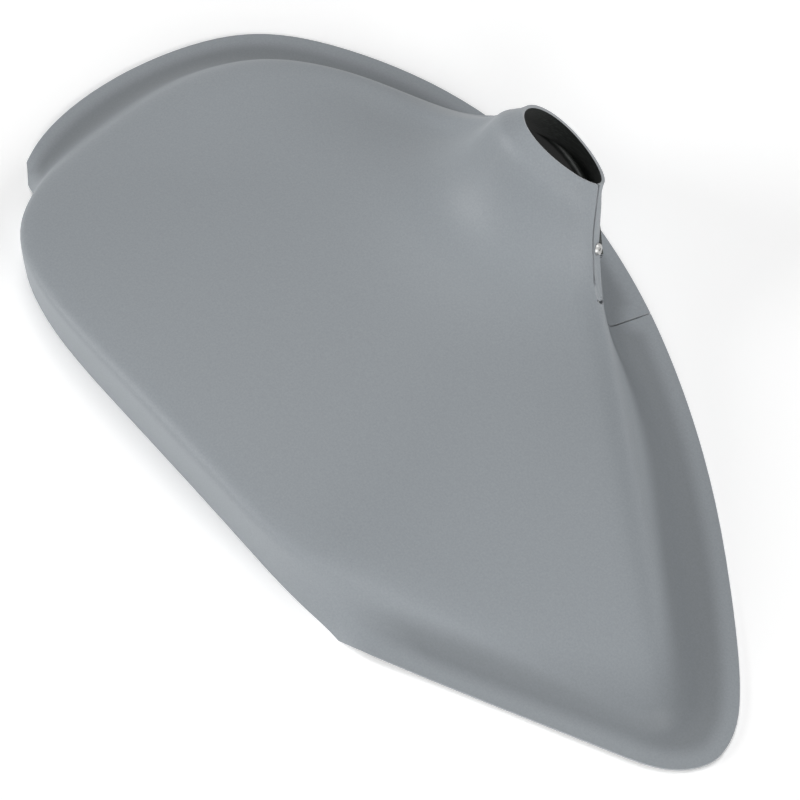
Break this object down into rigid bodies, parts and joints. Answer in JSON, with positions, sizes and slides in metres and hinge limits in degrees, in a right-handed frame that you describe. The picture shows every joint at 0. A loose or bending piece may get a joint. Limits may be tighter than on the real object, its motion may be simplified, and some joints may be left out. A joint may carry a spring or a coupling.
{
  "type": "brake fairing",
  "caption": "Moulded half-shell that covers a light aircraft's wheel brake, with a rim flange and a split, leaning teardrop collar for the gear leg.",
  "frame": {"origin": "under the middle of the moulding, on the plane that its trimmed rim rests on", "axes": "+X aft along the moulding's length, +Y up as installed, towards the gear leg, +Z inboard, away from the wheel"},
  "size_m": [0.5873, 0.3102, 0.1225],
  "materials": {
    "primed_laminate": "satin grey primer over moulded glass-fibre laminate",
    "plated_steel": "zinc plated"
  },
  "bodies": {
    "root": {"fairing_shell": "primed_laminate", "cup_washer": "plated_steel", "collar_screw": "plated_steel", "collar_nut": "plated_steel"}
  },
  "joints": []
}
